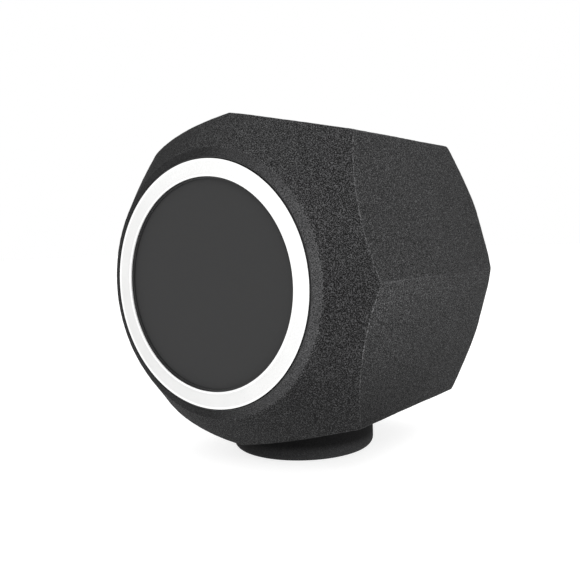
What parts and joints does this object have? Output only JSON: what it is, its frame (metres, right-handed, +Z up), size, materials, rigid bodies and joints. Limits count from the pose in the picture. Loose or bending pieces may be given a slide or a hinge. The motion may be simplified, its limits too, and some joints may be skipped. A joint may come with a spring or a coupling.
{
  "type": "microphone isolation shield",
  "caption": "Eight-sided foam block that shields a side-address microphone, with a plug-in round pop filter at the front and a gripping collar below.",
  "frame": {"origin": "on the collar's axis, in the plane of its foot", "axes": "+Z up along the collar's axis, -Y out of the filter's face, +X to the right for someone who faces the filter"},
  "size_m": [0.1948, 0.1816, 0.2088],
  "materials": {
    "shell_foam": "matte",
    "collar_foam": "matte",
    "grip_foam": "matte",
    "filter_foam": "matte",
    "woven_mesh": "matte",
    "white_plastic": "gloss",
    "dark_plastic": "matte",
    "black_rubber": "matte",
    "screw_steel": "satin"
  },
  "bodies": {
    "shield": {"foam_shell": "shell_foam", "filter_socket": "dark_plastic", "collar_sleeve": "collar_foam", "collar_core": "dark_plastic", "grip_ring": "grip_foam", "grip_retainer": "dark_plastic", "collar_screws": "screw_steel"},
    "pop_filter": {"trim_ring": "white_plastic", "filter_frame": "dark_plastic", "filter_back_ring": "dark_plastic", "filter_screws": "screw_steel", "filter_seal": "black_rubber", "front_mesh": "woven_mesh", "mesh_hoop": "dark_plastic", "filter_spacer": "dark_plastic", "filter_pad": "filter_foam", "rear_mesh": "woven_mesh"}
  },
  "joints": [
    {"name": "filter_pull", "type": "slide", "parent": "shield", "child": "pop_filter", "axis": [0, -1, 0], "range_m": [0, 0.05]}
  ]
}
